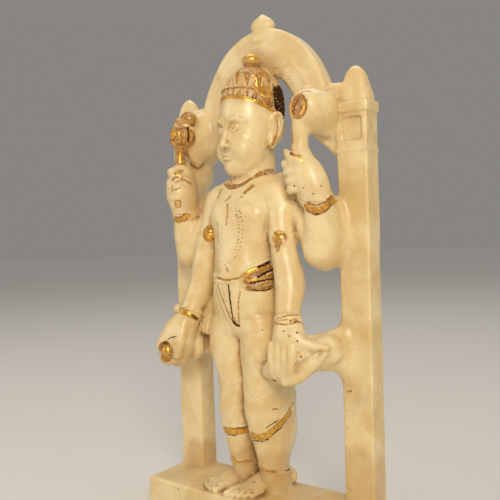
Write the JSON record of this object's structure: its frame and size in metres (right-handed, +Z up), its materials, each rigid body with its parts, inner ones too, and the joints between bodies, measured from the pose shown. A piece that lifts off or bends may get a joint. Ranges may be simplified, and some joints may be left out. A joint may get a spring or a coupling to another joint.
{
  "type": "standing vishnu figure",
  "caption": "Standing four-armed marble figure on a plinth, framed by pillars and an arch, holding mace, disc, lotus bud and conch.",
  "frame": {"origin": "centre of the plinth's flat underside", "axes": "+Z up through the figure, the figure faces -Y, and +X is the figure's own left"},
  "size_m": [0.2516, 0.0964, 0.531],
  "materials": {
    "marble": "warm cream marble, worn to a soft polish, with traces of paint and gilding"
  },
  "bodies": {
    "root": {"vishnu_figure": "marble"}
  },
  "joints": []
}
